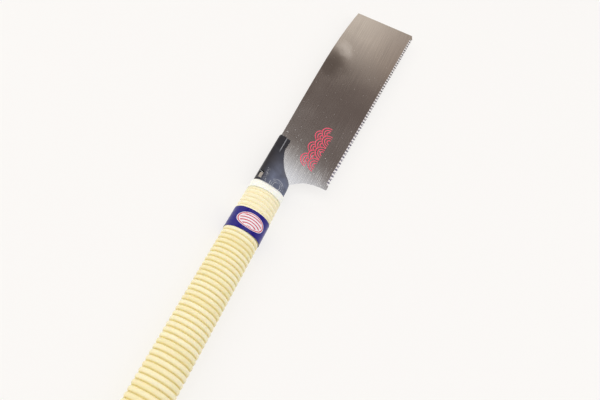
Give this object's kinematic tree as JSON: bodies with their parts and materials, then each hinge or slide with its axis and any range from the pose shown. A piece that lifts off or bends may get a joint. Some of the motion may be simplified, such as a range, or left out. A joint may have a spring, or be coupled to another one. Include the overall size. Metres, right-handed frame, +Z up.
{
  "type": "pull saw",
  "caption": "Single-edged pull saw: a thin toothed blade hooks onto a pin inside a folded steel holder, which is fixed in an oval handle wound with cord.",
  "frame": {"origin": "middle of the flat butt face, on the handle's middle line", "axes": "+X from the butt to the blade's tip, teeth towards -Y, +Z up across the blade's faces"},
  "size_m": [0.5813, 0.0786, 0.0248],
  "materials": {
    "blade_steel": "satin, brushed along the blade",
    "painted_steel": "blue-black satin paint, scuffed",
    "bare_steel": "bare",
    "core_wood": "raw",
    "cream_vinyl": "semi-gloss cream vinyl",
    "cream_plastic": "smooth satin",
    "blue_film": "semi-gloss film"
  },
  "bodies": {
    "handle": {"blade_holder": "painted_steel", "hook_pin": "bare_steel", "pin_bush_upper": "bare_steel", "pin_bush_lower": "bare_steel", "handle_core": "core_wood", "shank_nail_front": "bare_steel", "shank_nail_rear": "bare_steel", "front_collar": "cream_plastic", "grip_cord": "cream_vinyl", "label_band": "blue_film", "end_cap": "cream_plastic"},
    "blade": {"saw_blade": "blade_steel"}
  },
  "joints": [
    {"name": "blade_swing", "type": "hinge", "parent": "handle", "child": "blade", "pos_m": [0.2948, -0.004, 0], "axis": [0, 0, -1], "range_deg": [0, 12]}
  ]
}
